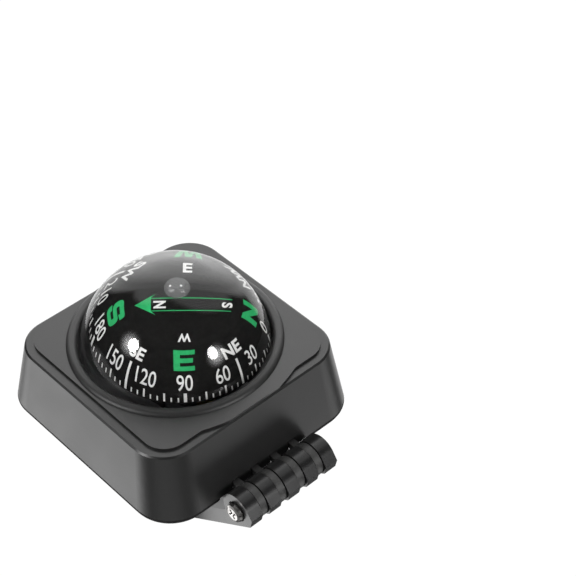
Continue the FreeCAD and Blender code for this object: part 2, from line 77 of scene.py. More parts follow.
shell_low, shell_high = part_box("housing_shell")
dome_low, dome_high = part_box("capsule_dome")
head_middle = (shell_low + shell_high) / 2
head_origin = Vector((head_middle.x, head_middle.y, shell_low.z - seam_height * mm))
dome_centre = (dome_low + dome_high) / 2
dome_centre.z = dome_high.z - dome_radius * mm
dial_low, dial_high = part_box("card_dial")
card_centre = (dial_low + dial_high) / 2
card_centre.z = dial_low.z - dial_rim[1] * mm

# The hinge's axis, at the end where the screw's head is
screw_low, screw_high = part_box("hinge_screw")
hinge_line = (screw_low + screw_high) / 2
hinge_line.x = screw_low.x


# Camera

camera_azimuth = math.radians(-43.09)
camera_elevation = math.radians(43.0)
camera_distance = 356.06
camera_across = 23.728
camera_rise = 23.877
camera_lens = 100.556
sensor_width = 36.0
nearest_seen_m = 0.01
farthest_seen_m = 20.0

across = Vector((math.cos(camera_azimuth), math.sin(camera_azimuth), 0))
back = Vector((
    math.sin(camera_azimuth) * math.cos(camera_elevation),
    -math.cos(camera_azimuth) * math.cos(camera_elevation),
    math.sin(camera_elevation),
))
rise = back.cross(across)
camera_data = bpy.data.cameras.new("camera")
camera_data.lens = camera_lens
camera_data.sensor_width = sensor_width
camera_data.sensor_fit = "HORIZONTAL"
camera_data.clip_start = nearest_seen_m
camera_data.clip_end = farthest_seen_m
camera = bpy.data.objects.new("camera", camera_data)
bpy.context.collection.objects.link(camera)
turn = Matrix((across, rise, back)).transposed().to_4x4()
place = head_origin + (back * camera_distance + across * camera_across + rise * camera_rise) * mm
camera.matrix_world = Matrix.Translation(place) @ turn
bpy.context.scene.camera = camera


# Node helpers

def node(tree, kind, **settings):
    """A new node with its settings; a setting that names an input fills that input."""
    made = tree.nodes.new(kind)
    for name, value in settings.items():
        if hasattr(made, name):
            setattr(made, name, value)
        else:
            made.inputs[name.replace("_", " ")].default_value = value
    return made


def link(tree, source, target):
    tree.links.new(source, target)


def maths(tree, operation, first, second=None):
    made = tree.nodes.new("ShaderNodeMath")
    made.operation = operation
    for index, value in enumerate((first, second)):
        if value is None:
            continue
        if isinstance(value, (int, float)):
            made.inputs[index].default_value = value
        else:
            tree.links.new(value, made.inputs[index])
    return made.outputs[0]


def spread(tree, value, low, high, to_low=0.0, to_high=1.0):
    """Map a value's range to another, smoothly and without going past its ends."""
    made = tree.nodes.new("ShaderNodeMapRange")
    made.interpolation_type = "SMOOTHSTEP"
    tree.links.new(value, made.inputs["Value"])
    for name, number in (("From Min", low), ("From Max", high), ("To Min", to_low), ("To Max", to_high)):
        made.inputs[name].default_value = number
    return made.outputs["Result"]


def mix_colour(tree, share, first, second):
    made = tree.nodes.new("ShaderNodeMix")
    made.data_type = "RGBA"
    for slot, value in ((0, share), (6, first), (7, second)):
        if isinstance(value, (int, float)):
            made.inputs[slot].default_value = value
        elif isinstance(value, tuple):
            made.inputs[slot].default_value = (*value, 1.0)
        else:
            tree.links.new(value, made.inputs[slot])
    return made.outputs[2]


def effect(name, inputs, outputs):
    """An empty node group with named sockets."""
    group = bpy.data.node_groups.new(name, "ShaderNodeTree")
    for label, kind, value in inputs:
        socket = group.interface.new_socket(label, in_out="INPUT", socket_type=kind)
        if value is not None:
            socket.default_value = value
    for label, kind in outputs:
        group.interface.new_socket(label, in_out="OUTPUT", socket_type=kind)
    enter = group.nodes.new("NodeGroupInput")
    leave = group.nodes.new("NodeGroupOutput")
    return group, enter, leave


number = "NodeSocketFloat"
vector = "NodeSocketVector"


def moulded_grain():
    """Spark-eroded mould texture: fine pits over a slow swell."""
    group, enter, leave = effect(
        "moulded_grain",
        [("Position", vector, None), ("Scale", number, 2600.0), ("Swell", number, 0.25)],
        [("Height", number), ("Speckle", number)],
    )
    pits = node(group, "ShaderNodeTexNoise", Detail=3.0, Roughness=0.62)
    cells = node(group, "ShaderNodeTexVoronoi", feature="SMOOTH_F1")
    swell = node(group, "ShaderNodeTexNoise", Scale=160.0, Detail=2.0)
    for texture in (pits, cells, swell):
        link(group, enter.outputs["Position"], texture.inputs["Vector"])
    link(group, enter.outputs["Scale"], pits.inputs["Scale"])
    link(group, enter.outputs["Scale"], cells.inputs["Scale"])
    fine = maths(group, "ADD", maths(group, "MULTIPLY", pits.outputs["Fac"], 0.65),
                 maths(group, "MULTIPLY", cells.outputs["Distance"], 0.35))
    slow = maths(group, "MULTIPLY", swell.outputs["Fac"], enter.outputs["Swell"])
    link(group, maths(group, "ADD", fine, slow), leave.inputs["Height"])
    link(group, spread(group, pits.outputs["Fac"], 0.35, 0.68), leave.inputs["Speckle"])
    return group


def edge_wear():
    """A mask of handled edges and corners, broken up by a coarse noise."""
    group, enter, leave = effect(
        "edge_wear",
        [("Position", vector, None), ("Low", number, 0.52), ("High", number, 0.6)],
        [("Mask", number)],
    )
    shape = group.nodes.new("ShaderNodeNewGeometry")
    ragged = node(group, "ShaderNodeTexNoise", Scale=420.0, Detail=4.0)
    link(group, enter.outputs["Position"], ragged.inputs["Vector"])
    made = group.nodes.new("ShaderNodeMapRange")
    made.interpolation_type = "SMOOTHSTEP"
    link(group, shape.outputs["Pointiness"], made.inputs["Value"])
    link(group, enter.outputs["Low"], made.inputs["From Min"])
    link(group, enter.outputs["High"], made.inputs["From Max"])
    broken = spread(group, ragged.outputs["Fac"], 0.35, 0.6, 0.35, 1.0)
    link(group, maths(group, "MULTIPLY", made.outputs["Result"], broken), leave.inputs["Mask"])
    return group


def handling():
    """Slow patches where fingers polish a surface, and a mask of slopes that face upwards, which the
    plastic uses for painted shade.
    """
    group, enter, leave = effect(
        "handling",
        [("Position", vector, None), ("Scale", number, 70.0)],
        [("Polish", number), ("Slope", number)],
    )
    patches = node(group, "ShaderNodeTexNoise", Detail=3.0, Roughness=0.55)
    link(group, enter.outputs["Position"], patches.inputs["Vector"])
    link(group, enter.outputs["Scale"], patches.inputs["Scale"])
    shape = group.nodes.new("ShaderNodeNewGeometry")
    split = group.nodes.new("ShaderNodeSeparateXYZ")
    link(group, shape.outputs["Normal"], split.inputs[0])
    raised = spread(group, split.outputs["Z"], 0.25, 0.4)
    level = spread(group, split.outputs["Z"], 0.85, 0.97)
    link(group, spread(group, patches.outputs["Fac"], 0.38, 0.62), leave.inputs["Polish"])
    link(group, maths(group, "MULTIPLY", raised, maths(group, "SUBTRACT", 1.0, level)),
         leave.inputs["Slope"])
    return group


def turned_lines():
    """Fine rings by distance from a centre, like a lathe's marks, and clouds of tarnish."""
    group, enter, leave = effect(
        "turned_lines",
        [("Position", vector, None), ("Centre", vector, None), ("Scale", number, 5200.0)],
        [("Height", number), ("Tarnish", number)],
    )
    away = node(group, "ShaderNodeVectorMath", operation="DISTANCE")
    link(group, enter.outputs["Position"], away.inputs[0])
    link(group, enter.outputs["Centre"], away.inputs[1])
    rings = node(group, "ShaderNodeTexNoise", noise_dimensions="1D", Detail=2.0)
    link(group, away.outputs["Value"], rings.inputs["W"])
    link(group, enter.outputs["Scale"], rings.inputs["Scale"])
    clouds = node(group, "ShaderNodeTexNoise", Scale=900.0, Detail=4.0)
    link(group, enter.outputs["Position"], clouds.inputs["Vector"])
    link(group, rings.outputs["Fac"], leave.inputs["Height"])
    link(group, spread(group, clouds.outputs["Fac"], 0.4, 0.65), leave.inputs["Tarnish"])
    return group


grain_group = moulded_grain()
wear_group = edge_wear()
polish_and_slope_shade_group = handling()
lathe_group = turned_lines()


def place_group(tree, group, **values):
    made = tree.nodes.new("ShaderNodeGroup")
    made.node_tree = group
    for name, value in values.items():
        made.inputs[name].default_value = value
    return made


def material(name):
    made = bpy.data.materials.new(name)
    made.use_nodes = True
    tree = made.node_tree
    tree.nodes.clear()
    out = tree.nodes.new("ShaderNodeOutputMaterial")
    shader = tree.nodes.new("ShaderNodeBsdfPrincipled")
    link(tree, shader.outputs[0], out.inputs["Surface"])
    spot = tree.nodes.new("ShaderNodeTexCoord").outputs["Object"]
    return made, tree, shader, spot


def plastic(name, colour, worn, rough, polish, grain_scale, grain_depth, wear=1.0, slope=0.0,
            zone=None, dull_spot=None):
    """Moulded plastic: grained, a little polished by hand, paler along its edges. Bevels and
    slopes can be painted darker than the faces, as painted shade. A zone along one axis can have
    another colour and be rougher; on the housing that colour is painted shade along the foot's
    lower edge. The surface within reach of an upright line can be rougher too."""
    speckle_share = 0.22
    painted_slope_shade_colour = (0.006, 0.006, 0.006)
    bump_strength = 0.55
    spot_edge = (0.1, -0.2)
    made, tree, shader, spot = material(name)
    grain = place_group(tree, grain_group, Scale=grain_scale)
    edges = place_group(tree, wear_group)
    hand = place_group(tree, polish_and_slope_shade_group)
    for group in (grain, edges, hand):
        link(tree, spot, group.inputs["Position"])
    speckle = maths(tree, "MULTIPLY", grain.outputs["Speckle"], speckle_share)
    tinted = mix_colour(tree, speckle, colour, worn)
    handled = mix_colour(tree, maths(tree, "MULTIPLY", edges.outputs["Mask"], wear), tinted, worn)
    smooth = maths(tree, "ADD", maths(tree, "MULTIPLY", hand.outputs["Polish"], -polish), rough)
    if zone:
        axis, start, end, zone_colour, zone_rough = zone
        along = node(tree, "ShaderNodeSeparateXYZ")
        link(tree, spot, along.inputs[0])
        inside = spread(tree, along.outputs[axis], start * mm, end * mm)
        handled = mix_colour(tree, inside, handled, zone_colour)
        smooth = maths(tree, "MAXIMUM", smooth, maths(tree, "MULTIPLY", inside, zone_rough))
    if dull_spot:
        centre, reach, spot_rough = dull_spot
        flat = node(tree, "ShaderNodeVectorMath", operation="MULTIPLY")
        link(tree, spot, flat.inputs[0])
        flat.inputs[1].default_value = (1.0, 1.0, 0.0)
        away = node(tree, "ShaderNodeVectorMath", operation="DISTANCE")
        link(tree, flat.outputs[0], away.inputs[0])
        away.inputs[1].default_value = (centre.x, centre.y, 0.0)
        outer, inner = ((reach + edge) * mm for edge in spot_edge)
        near = spread(tree, away.outputs["Value"], outer, inner)
        smooth = maths(tree, "MAXIMUM", smooth, maths(tree, "MULTIPLY", near, spot_rough))
    # Painted shade: slopes that face upwards are mixed towards a near-black colour by the slope share.
    painted_slope_shade = maths(tree, "MULTIPLY", hand.outputs["Slope"], slope)
    link(tree, mix_colour(tree, painted_slope_shade, handled, painted_slope_shade_colour), shader.inputs["Base Color"])
    link(tree, smooth, shader.inputs["Roughness"])
    bump = node(tree, "ShaderNodeBump", Strength=bump_strength)
    bump.inputs["Distance"].default_value = grain_depth * mm
    link(tree, grain.outputs["Height"], bump.inputs["Height"])
    link(tree, bump.outputs["Normal"], shader.inputs["Normal"])
    return made


def metal(name, colour, tarnish, rough, centre, line_depth):
    """Plated or turned metal with faint rings and a little tarnish."""
    tarnish_share = 0.45
    worn_share = 0.5
    tarnish_rough = 0.12
    made, tree, shader, spot = material(name)
    lines = place_group(tree, lathe_group)
    lines.inputs["Centre"].default_value = centre
    edges = place_group(tree, wear_group)
    link(tree, spot, lines.inputs["Position"])
    link(tree, spot, edges.inputs["Position"])
    cloudy = maths(tree, "MULTIPLY", lines.outputs["Tarnish"], tarnish_share)
    rubbed = maths(tree, "MULTIPLY", edges.outputs["Mask"], worn_share)
    bright = mix_colour(tree, rubbed, mix_colour(tree, cloudy, colour, tarnish), colour)
    link(tree, bright, shader.inputs["Base Color"])
    shader.inputs["Metallic"].default_value = 1.0
    duller = maths(tree, "MULTIPLY", lines.outputs["Tarnish"], tarnish_rough)
    link(tree, maths(tree, "ADD", duller, rough), shader.inputs["Roughness"])
    bump = node(tree, "ShaderNodeBump", Strength=0.3)
    bump.inputs["Distance"].default_value = line_depth * mm
    link(tree, lines.outputs["Height"], bump.inputs["Height"])
    link(tree, bump.outputs["Normal"], shader.inputs["Normal"])
    return made


def foam(name, colour, pore):
    """Closed-cell foam: round open pores over a soft base."""
    pore_depth = 0.08
    made, tree, shader, spot = material(name)
    cells = node(tree, "ShaderNodeTexVoronoi", Scale=2600.0)
    cloud = node(tree, "ShaderNodeTexNoise", Scale=500.0, Detail=3.0)
    link(tree, spot, cells.inputs["Vector"])
    link(tree, spot, cloud.inputs["Vector"])
    hollow = spread(tree, cells.outputs["Distance"], 0.1, 0.5)
    link(tree, mix_colour(tree, hollow, pore, colour), shader.inputs["Base Color"])
    link(tree, spread(tree, cloud.outputs["Fac"], 0.3, 0.7, 0.75, 0.95), shader.inputs["Roughness"])
    bump = node(tree, "ShaderNodeBump", Strength=0.8)
    bump.inputs["Distance"].default_value = pore_depth * mm
    link(tree, hollow, bump.inputs["Height"])
    link(tree, bump.outputs["Normal"], shader.inputs["Normal"])
    return made


def ink(name, colour, thin, specular=0.1):
    """Printed ink: slightly uneven cover, with a faint gloss change."""
    made, tree, shader, spot = material(name)
    cover = node(tree, "ShaderNodeTexNoise", Scale=1500.0, Detail=4.0)
    link(tree, spot, cover.inputs["Vector"])
    share = spread(tree, cover.outputs["Fac"], 0.3, 0.7)
    link(tree, mix_colour(tree, share, thin, colour), shader.inputs["Base Color"])
    link(tree, spread(tree, cover.outputs["Fac"], 0.3, 0.7, 0.45, 0.6), shader.inputs["Roughness"])
    shader.inputs["Specular IOR Level"].default_value = specular
    return made


def clear_outside():
    """The dome's outer faces: clear acrylic on index-matched liquid. Lamp light goes straight in."""
    liquid_index = 1.47
    made, tree, shader, spot = material("dome_acrylic")
    shader.inputs["Transmission Weight"].default_value = 1.0
    shader.inputs["IOR"].default_value = liquid_index
    shader.inputs["Base Color"].default_value = (1.0, 1.0, 1.0, 1.0)
    smear = node(tree, "ShaderNodeTexNoise", Scale=55.0, Detail=3.0)
    link(tree, spot, smear.inputs["Vector"])
    link(tree, spread(tree, smear.outputs["Fac"], 0.45, 0.75, 0.0, 0.035), shader.inputs["Roughness"])
    path = tree.nodes.new("ShaderNodeLightPath")
    solid = maths(tree, "SUBTRACT", 1.0, path.outputs["Is Shadow Ray"])
    link(tree, solid, shader.inputs["Alpha"])
    return made


def clear_inside():
    """The dome's wetted faces, which the liquid makes invisible."""
    made, tree, shader, spot = material("dome_wetted")
    shader.inputs["Alpha"].default_value = 0.0
    film = node(tree, "ShaderNodeTexNoise", Scale=300.0)
    link(tree, spot, film.inputs["Vector"])
    link(tree, spread(tree, film.outputs["Fac"], 0.3, 0.7, 0.1, 0.2), shader.inputs["Roughness"])
    return made


def air_in_liquid(painted_glints):
    """The bubble's skin, which turns most light back and looks a milky grey from above. The grey is a
    painted base colour that stands for that light, and two small painted highlights, as emission, stand
    for the lamps."""
    painted_glint_core = 0.12
    painted_glint_reach = 0.34
    painted_glint_level = 1.4
    cover = 0.55
    made, tree, shader, spot = material("bubble_air")
    cloud = node(tree, "ShaderNodeTexNoise", Scale=500.0, Detail=2.0)
    link(tree, spot, cloud.inputs["Vector"])
    # Painted reflection: the milky grey base colour stands for the light that the skin turns back.
    link(tree, mix_colour(tree, cloud.outputs["Fac"], (0.10, 0.102, 0.102), (0.14, 0.142, 0.142)),
         shader.inputs["Base Color"])
    link(tree, spread(tree, cloud.outputs["Fac"], 0.3, 0.7, 0.22, 0.28), shader.inputs["Roughness"])
    shader.inputs["Specular IOR Level"].default_value = 0.5
    lit = None
    # Painted highlights: two small emission spots at fixed places on the skin, where the lamps' highlights
    # fall.
    for painted_glint in painted_glints:
        away = node(tree, "ShaderNodeVectorMath", operation="DISTANCE")
        link(tree, spot, away.inputs[0])
        away.inputs[1].default_value = painted_glint
        dot = spread(tree, away.outputs["Value"], painted_glint_core * mm, painted_glint_reach * mm, 1.0, 0.0)
        lit = dot if lit is None else maths(tree, "MAXIMUM", lit, dot)
    link(tree, mix_colour(tree, lit, (0.0, 0.0, 0.0), (1.0, 1.0, 1.0)), shader.inputs["Emission Color"])
    shader.inputs["Emission Strength"].default_value = painted_glint_level
    path = tree.nodes.new("ShaderNodeLightPath")
    lamps_pass = maths(tree, "SUBTRACT", 1.0, path.outputs["Is Shadow Ray"])
    link(tree, maths(tree, "MULTIPLY", lamps_pass, cover), shader.inputs["Alpha"])
    return made


foot_edge = shell_low.z / mm

# slope=0.3 paints the housing's upward slopes and bevels darker, as painted shade.
housing_finish = plastic("housing_satin", (0.016, 0.016, 0.016), (0.030, 0.030, 0.029), 0.37, 0.03,
                         5200.0, 0.006, 0.3, slope=0.3,
                         # Painted shade: this zone paints the band along the foot's lower edge near-black,
                         # along the seam, and also makes it rougher.
                         zone=("Z", foot_edge + 0.6, foot_edge + 0.4, (0.004, 0.004, 0.004), 0.95),
                         dull_spot=(dome_centre, ring_radius, 0.5))
cover_finish = plastic("cover_satin", (0.012, 0.012, 0.012), (0.03, 0.03, 0.03), 0.45, 0.06,
                       3600.0, 0.008, 0.3, zone=("Y", -9.0, -10.0, (0.042, 0.042, 0.041), 0.5))
hinge_finish = plastic("hinge_semi_gloss", (0.009, 0.009, 0.009), (0.02, 0.02, 0.02), 0.30, 0.04,
                       3000.0, 0.005, 0.3)
bowl_finish = plastic("bowl_black", (0.006, 0.006, 0.006), (0.012, 0.012, 0.012), 0.4, 0.05, 3000.0,
                      0.004)
seal_finish = plastic("seal_rubber_black", (0.012, 0.012, 0.012), (0.03, 0.03, 0.03), 0.7, 0.05,
                      2600.0, 0.01)
dial_finish = ink("dial_matt_black", (0.0088, 0.0086, 0.0084), (0.007, 0.0068, 0.0066), 0.0)
jewel_finish = plastic("jewel_red", (0.35, 0.02, 0.03), (0.5, 0.1, 0.1), 0.12, 0.02, 900.0, 0.002)
steel_finish = metal("zinc_plated_steel", (0.42, 0.41, 0.40), (0.24, 0.23, 0.22), 0.24,
                     tuple(hinge_line), 0.006)
cover_steel_finish = metal("cover_screw_steel", (0.76, 0.76, 0.74), (0.40, 0.40, 0.39), 0.26,
                           tuple(head_origin), 0.004)
brass_finish = metal("turned_brass", (0.30, 0.21, 0.09), (0.14, 0.09, 0.04), 0.45,
                     tuple(card_centre), 0.005)
clip_finish = metal("clip_blackened", (0.030, 0.029, 0.028), (0.015, 0.014, 0.014), 0.5,
                    tuple(card_centre), 0.004)
magnet_finish = metal("magnet_iron_dark", (0.10, 0.10, 0.105), (0.05, 0.048, 0.048), 0.5,
                      tuple(card_centre), 0.006)
foam_finish = foam("foam_tape", (0.045, 0.045, 0.048), (0.012, 0.012, 0.013))
cushion_finish = foam("foam_cushion", (0.05, 0.05, 0.05), (0.02, 0.02, 0.02))
white_ink = ink("ink_white", (0.60, 0.60, 0.59), (0.52, 0.52, 0.51))
green_ink = ink("ink_green", (0.018, 0.30, 0.094), (0.015, 0.25, 0.078))
dome_finish = clear_outside()
wetted_finish = clear_inside()

node_finishes = {
    "mount_plate": hinge_finish,
    "adhesive_pad": foam_finish,
    "hinge_screw": steel_finish,
    "hinge_nut": steel_finish,
    "housing_shell": housing_finish,
    "bottom_cover": cover_finish,
    "cover_screws": cover_steel_finish,
    "capsule_bowl": bowl_finish,
    "capsule_seal": seal_finish,
    "cushion_ring": cushion_finish,
    "fill_plug": seal_finish,
    "pivot_post": brass_finish,
    "pivot_needle": steel_finish,
    "jewel_cup": jewel_finish,
    "jewel_socket": brass_finish,
    "card_dial": dial_finish,
    "card_float": bowl_finish,
    "magnet_clip": clip_finish,
    "card_magnets": magnet_finish,
}
for name, finish in node_finishes.items():
    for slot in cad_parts[name].material_slots:
        slot.material = finish


# Mesh helpers

def add_piece(name, mesh, body, finishes):
    made = bpy.data.objects.new(name, mesh)
    bpy.context.collection.objects.link(made)
    for finish in finishes:
        mesh.materials.append(finish)
    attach(made, body)
    return made


def smooth_mesh(name, bm, sharp_degrees=35.0):
    bmesh.ops.recalc_face_normals(bm, faces=bm.faces)
    mesh = bpy.data.meshes.new(name)
    bm.to_mesh(mesh)
    bm.free()
    mesh.polygons.foreach_set("use_smooth", [True] * len(mesh.polygons))
    mesh.set_sharp_from_angle(angle=math.radians(sharp_degrees))
    return mesh


def turned(profile, steps, centre):
    """Turn a closed outline of (radius, height) points about the upright line through a centre.
    Points on the line become one vertex. Returns the mesh in the making and its faces by stretch."""
    bm = bmesh.new()
    rings = []
    for radius, height in profile:
        if radius == 0:
            rings.append([bm.verts.new(centre + Vector((0, 0, height)) * mm)])
            continue
        ring = []
        for step in range(steps):
            angle = 2 * math.pi * step / steps
            spot = Vector((radius * math.cos(angle), radius * math.sin(angle), height)) * mm
            ring.append(bm.verts.new(centre + spot))
        rings.append(ring)
    stretches = []
    for first, second in zip(rings, rings[1:] + rings[:1]):
        faces = []
        if len(first) > 1 or len(second) > 1:
            for step in range(steps):
                after = (step + 1) % steps
                corners = [first[step % len(first)], second[step % len(second)],
                           second[after % len(second)], first[after % len(first)]]
                unique = list(dict.fromkeys(corners))
                faces.append(bm.faces.new(unique))
        stretches.append(faces)
    return bm, stretches


def arc_points(radius, start, end, count):
    """(radius, height) points of an arc about the centre, by elevation in degrees."""
    points = []
    for step in range(count + 1):
        angle = math.radians(start + (end - start) * step / count)
        points.append((radius * math.cos(angle), radius * math.sin(angle)))
    if abs(end) == 90:
        points[-1] = (0, radius)
    if abs(start) == 90:
        points[0] = (0, radius)
    return points


# Clear dome

def clear_dome():
    steps = 192
    inner = dome_radius - dome_wall
    outside = arc_points(dome_radius, 0, 90, 60)
    inside = arc_points(inner, 90, 0, 60)
    top = flange_thickness - dome_skirt
    profile = outside + inside + [
        (inner, -dome_skirt),
        (flange_radius, -dome_skirt),
        (flange_radius, top),
        (dome_radius, top),
    ]
    bm, stretches = turned(profile, steps, dome_centre)
    wetted = range(len(outside) - 1, len(outside) + len(inside))
    for index in wetted:
        for face in stretches[index]:
            face.material_index = 1
    mesh = smooth_mesh("dome_shell", bm)
    piece = add_piece("dome_shell", mesh, "head", [dome_finish, wetted_finish])
    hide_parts("capsule_dome")


clear_dome()


# Air bubble under the dome's top

def air_bubble():
    """A flattened ball, bent a little with the dome and off the dome's axis."""
    radius = 2.55
    depth = 1.8
    gap_to_dome = 0.25
    drift_across = 1.1
    drift_near = 1.2
    painted_glint_sides = (-1.3, 0.9)
    painted_glint_near = 0.6
    toward_camera = Vector((back.x, back.y, 0)).normalized()
    drift = across * drift_across + toward_camera * drift_near
    steps = 64
    rows = 24
    points = []
    for step in range(rows + 1):
        angle = math.pi * step / rows - math.pi / 2
        points.append([radius * math.cos(angle), depth * math.sin(angle)])
    points[0][0] = 0
    points[-1][0] = 0
    top = dome_radius - dome_wall - gap_to_dome - depth
    lowered = [(r, top + z - (r * r) / (2 * dome_radius)) for r, z in points]
    drift.z = -drift.length_squared / (2 * (dome_radius - dome_wall))
    middle = dome_centre + drift * mm
    bm = turned(lowered, steps, middle)[0]
    mesh = smooth_mesh("air_bubble", bm, 80)
    # The places of the two painted highlights on the bubble's skin.
    painted_glints = []
    for side in painted_glint_sides:
        run = math.hypot(side, painted_glint_near)
        height = top + depth * math.sqrt(1 - (run / radius) ** 2) - run * run / (2 * dome_radius)
        spot = across * side + toward_camera * painted_glint_near + Vector((0, 0, height))
        painted_glints.append(middle + spot * mm)
    add_piece("air_bubble", mesh, "head", [air_in_liquid(painted_glints)])


air_bubble()


# Dial's printing

def circle_through(a, b, c):
    """Centre and radius of the circle through three (radius, height) points."""
    d = 2 * (a[0] * (b[1] - c[1]) + b[0] * (c[1] - a[1]) + c[0] * (a[1] - b[1]))
    sa, sb, sc = (p[0] ** 2 + p[1] ** 2 for p in (a, b, c))
    x = (sa * (b[1] - c[1]) + sb * (c[1] - a[1]) + sc * (a[1] - b[1])) / d
    y = (sa * (c[0] - b[0]) + sb * (a[0] - c[0]) + sc * (b[0] - a[0])) / d
    return x, y, math.hypot(a[0] - x, a[1] - y)


crown_reach = dial_shoulder[0] - dial_flat[0]
crown_fall = dial_flat[1] - dial_shoulder[1]
crown_bend = (crown_reach ** 2 + crown_fall ** 2) / (2 * crown_fall)
crown_end = dial_flat[0] + crown_bend * math.asin(crown_reach / crown_bend)
side_x, side_z, side_bend = circle_through(dial_rim, dial_band, dial_shoulder)
side_start = math.atan2(dial_shoulder[1] - side_z, dial_shoulder[0] - side_x)
side_end = math.atan2(dial_rim[1] - side_z, dial_rim[0] - side_x)
dial_run = crown_end + side_bend * (side_start - side_end)


def dial_point(run):
    """(radius, height) and outward normal of the dial at a distance from its pole, along its surface."""
    if run <= dial_flat[0]:
        return run, dial_flat[1], 0.0, 1.0
    if run <= crown_end:
        angle = (run - dial_flat[0]) / crown_bend
        return (dial_flat[0] + crown_bend * math.sin(angle),
                dial_flat[1] - crown_bend * (1 - math.cos(angle)),
                math.sin(angle), math.cos(angle))
    angle = side_start - (run - crown_end) / side_bend
    return (side_x + side_bend * math.cos(angle), side_z + side_bend * math.sin(angle),
            math.cos(angle), math.sin(angle))


def run_at_height(height):
    """Distance from the pole, along the surface, at which the dial's side has a height."""
    return crown_end + side_bend * (side_start - math.asin((height - side_z) / side_bend))


mark_90 = math.radians(-131.5)
ink_top = 0.03
ink_sunk = 0.03
ink_grid = 0.45


def mark_angle(mark):
    return mark_90 - math.radians(mark - 90)


def on_dial(run, angle, lift):
    """A point on the dial, or lifted off it."""
    radius, height, out, up = dial_point(min(run, dial_run))
    radius += out * lift
    spot = Vector((radius * math.cos(angle), radius * math.sin(angle), height + up * lift))
    return card_centre + spot * mm


def cut_fine(bm, pitch):
    """Cut flat faces along a grid, so that they can bend with the dial."""
    for axis in (0, 1):
        low = min(v.co[axis] for v in bm.verts)
        high = max(v.co[axis] for v in bm.verts)
        for step in range(math.floor(low / pitch), math.ceil(high / pitch) + 1):
            spot = Vector((0, 0, 0))
            spot[axis] = step * pitch
            way = Vector((0, 0, 0))
            way[axis] = 1
            parts = list(bm.verts) + list(bm.edges) + list(bm.faces)
            bmesh.ops.bisect_plane(bm, geom=parts, dist=0.0001, plane_co=spot, plane_no=way)


def print_flat(bm, target, bend):
    """Give flat artwork the ink's thickness, bend it onto the dial and add it to a mesh."""
    cut_fine(bm, ink_grid)
    grown = bmesh.ops.extrude_face_region(bm, geom=list(bm.faces))
    for part in grown["geom"]:
        if isinstance(part, bmesh.types.BMVert):
            part.co.z = -1
    for vert in bm.verts:
        lift = ink_top if vert.co.z > -0.5 else -ink_sunk
        vert.co = bend(vert.co.x, vert.co.y, lift)
    bmesh.ops.recalc_face_normals(bm, faces=bm.faces)
    made = bpy.data.meshes.new("art")
    bm.to_mesh(made)
    bm.free()
    target.from_mesh(made)
    bpy.data.meshes.remove(made)


def flat_bar(low_x, high_x, low_y, high_y):
    bm = bmesh.new()
    corners = [(low_x, low_y), (high_x, low_y), (high_x, high_y), (low_x, high_y)]
    bm.faces.new([bm.verts.new((x, y, 0)) for x, y in corners])
    return bm


def flat_outline(points, rounding=0.0):
    """A flat face with rounded corners. A point can carry its own rounding as a third number."""
    bm = bmesh.new()
    steps = 6
    verts = []
    for index, point in enumerate(points):
        corner = Vector(point[:2])
        size = point[2] if len(point) > 2 else rounding
        if not size:
            verts.append(bm.verts.new((*corner, 0)))
            continue
        before = corner + (Vector(points[index - 1][:2]) - corner).normalized() * size
        after = corner + (Vector(points[(index + 1) % len(points)][:2]) - corner).normalized() * size
        for step in range(steps + 1):
            t = step / steps
            spot = before * (1 - t) ** 2 + corner * 2 * t * (1 - t) + after * t ** 2
            verts.append(bm.verts.new((*spot, 0)))
    bm.faces.new(verts)
    bm.normal_update()
    bmesh.ops.triangulate(bm, faces=list(bm.faces))
    return bm


def block_letter(letter):
    """The bold square capitals of the four main marks, about their middle."""
    tall = 3.9
    stem = 1.2
    bar = 0.86
    wide = {"N": 4.5, "E": 4.0, "S": 4.25, "W": 4.7}[letter]
    low_bar = (tall - bar) / 2
    high_bar = (tall + bar) / 2
    if letter == "E":
        short = wide - 0.35
        points = [(0, 0), (wide, 0), (wide, bar), (stem, bar), (stem, low_bar), (short, low_bar),
                  (short, high_bar), (stem, high_bar), (stem, tall - bar), (wide, tall - bar),
                  (wide, tall), (0, tall)]
        rounding = 0.1
    elif letter == "S":
        hook = 0.42
        bend = 1.05
        points = [(0, 0, bend), (wide, 0, bend), (wide, high_bar, bend), (stem, high_bar, 0.25),
                  (stem, tall - bar, 0.25), (wide - stem, tall - bar, 0.2),
                  (wide - stem, tall - bar - hook), (wide, tall - bar - hook), (wide, tall, bend),
                  (0, tall, bend), (0, low_bar, bend), (wide - stem, low_bar, 0.25),
                  (wide - stem, bar, 0.25), (stem, bar, 0.2), (stem, bar + hook), (0, bar + hook)]
        rounding = 0.06
    elif letter == "N":
        slope = 1.7
        points = [(0, 0), (stem, 0), (stem, tall - slope), (wide - stem, 0), (wide, 0), (wide, tall),
                  (wide - stem, tall), (wide - stem, slope), (stem, tall), (0, tall)]
        rounding = 0.06
    else:
        foot = 1.0
        middle = wide / 2
        dip = 1.35
        points = [(foot - 0.1, 0), (2 * foot, 0), (middle, tall - dip), (wide - 2 * foot, 0),
                  (wide - foot + 0.1, 0), (wide, tall), (wide - foot, tall),
                  (wide - foot - 0.5, dip), (middle + foot / 2, tall), (middle - foot / 2, tall),
                  (foot + 0.5, dip), (foot, tall), (0, tall)]
        rounding = 0.06
    centred = [(point[0] - wide / 2, point[1] - tall / 2, *point[2:]) for point in points]
    return flat_outline(centred, rounding)


